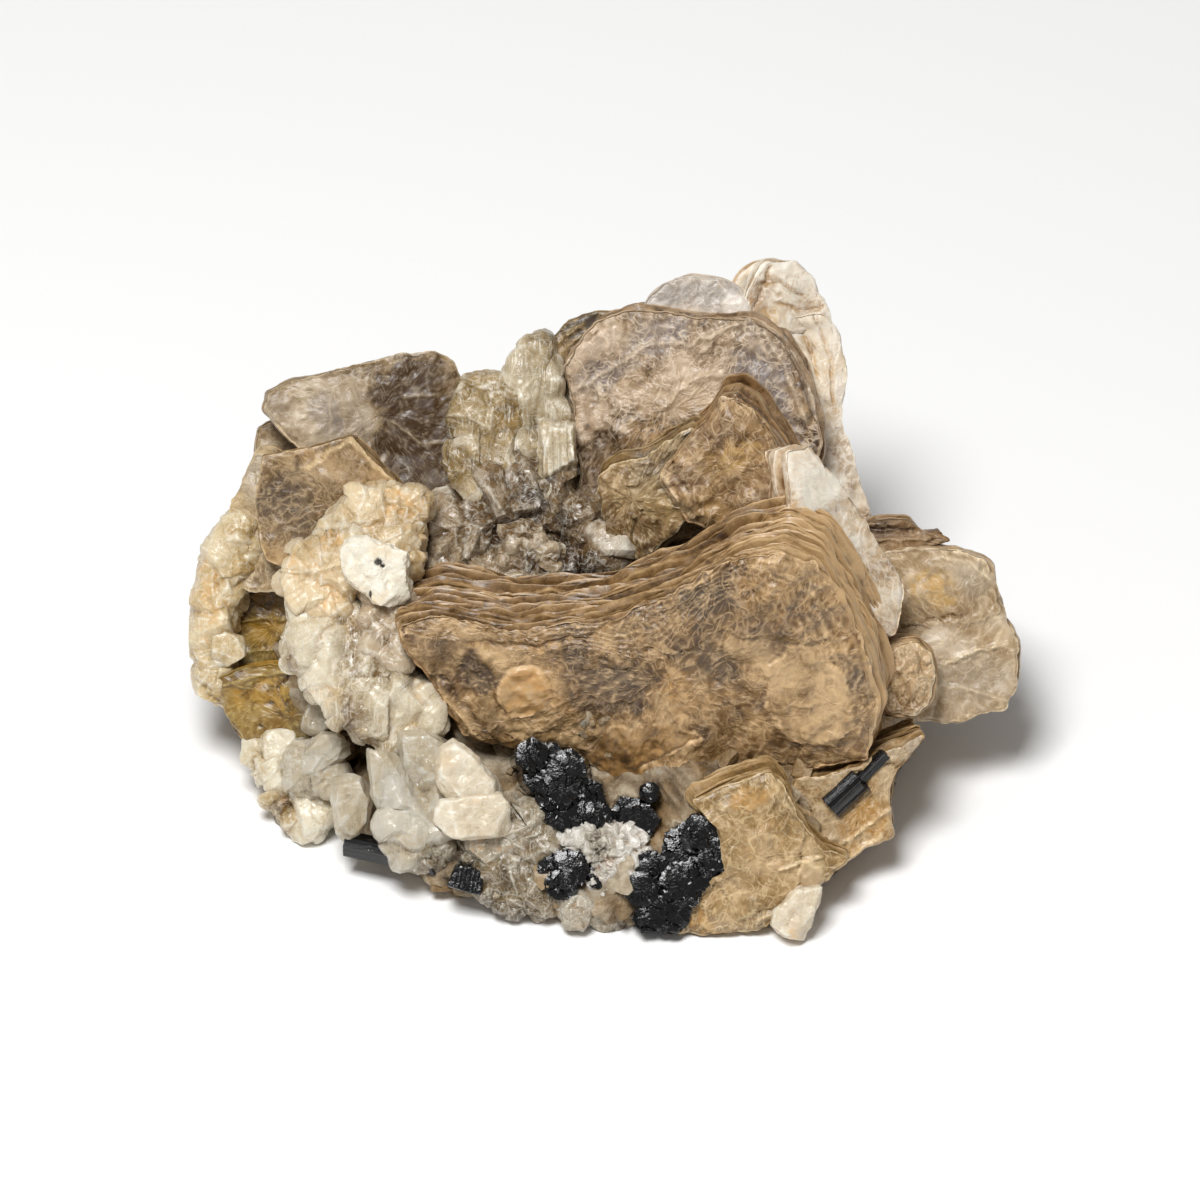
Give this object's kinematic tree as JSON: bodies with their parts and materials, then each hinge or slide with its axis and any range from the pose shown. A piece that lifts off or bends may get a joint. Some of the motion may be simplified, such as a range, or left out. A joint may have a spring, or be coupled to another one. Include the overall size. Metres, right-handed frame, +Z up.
{
  "type": "mica crystal specimen",
  "caption": "Hand specimen of layered brown mica books grown on feldspar and quartz with black tourmaline prisms, resting on a flat broken base.",
  "frame": {"origin": "middle of the specimen's box on the surface that its flat broken base rests on", "axes": "+Z up, +X to the right along the longest way across the display face, -Y towards the viewer; the display face leans back and looks towards -Y and +Z"},
  "size_m": [0.0834, 0.0627, 0.0425],
  "materials": {
    "mica_brown": "pearly brown mica, curved layer edges, satin to glossy",
    "mica_tan": "pearly golden tan mica, translucent at thin edges",
    "mica_pale": "silvery white mica with brown seams",
    "mica_gold": "golden olive translucent mica",
    "feldspar_cream": "cream feldspar, waxy, iron stained",
    "feldspar_white": "white feldspar and albite, waxy to sugary",
    "quartz_grey": "translucent greyish albite and quartz, glassy",
    "matrix_rock": "massive feldspar and mica rock, rough broken",
    "tourmaline_black": "black tourmaline, striated, glossy"
  },
  "bodies": {
    "root": {"front_book": "mica_brown", "right_ledge_book": "mica_brown", "back_right_book": "mica_brown", "left_front_book": "mica_brown", "left_back_book": "mica_brown", "foot_book": "mica_tan", "right_foot_book": "mica_tan", "round_book": "mica_tan", "far_right_book": "mica_tan", "middle_book": "mica_tan", "middle_step_book": "mica_tan", "left_edge_book": "mica_tan", "left_under_book": "mica_tan", "shoulder_book": "mica_pale", "top_lobe_book": "mica_pale", "pale_top_book": "mica_pale", "right_corner_book": "mica_pale", "dark_back_book": "mica_gold", "gold_book": "mica_gold", "gold_recess_book": "mica_gold", "feldspar_crust": "feldspar_cream", "feldspar_triangle": "feldspar_cream", "albite_column": "feldspar_cream", "albite_rough_column": "feldspar_cream", "foot_feldspars": "feldspar_cream", "golden_crust": "feldspar_cream", "left_crust": "feldspar_cream", "feldspar_chip": "feldspar_white", "feldspar_block_upper": "feldspar_white", "feldspar_block_lower": "feldspar_white", "feldspar_block_small": "feldspar_white", "feldspar_block_foot": "feldspar_white", "sugary_albite": "feldspar_white", "albite_band": "quartz_grey", "quartz_group": "quartz_grey", "quartz_round": "quartz_grey", "quartz_striated": "quartz_grey", "quartz_long": "quartz_grey", "hollow_crystals": "quartz_grey", "feldspar_matrix": "matrix_rock", "tourmaline_upper": "tourmaline_black", "tourmaline_middle": "tourmaline_black", "tourmaline_lower": "tourmaline_black", "tourmaline_right": "tourmaline_black", "tourmaline_stub": "tourmaline_black", "tourmaline_bar": "tourmaline_black", "tourmaline_slit": "tourmaline_black"}
  },
  "joints": []
}
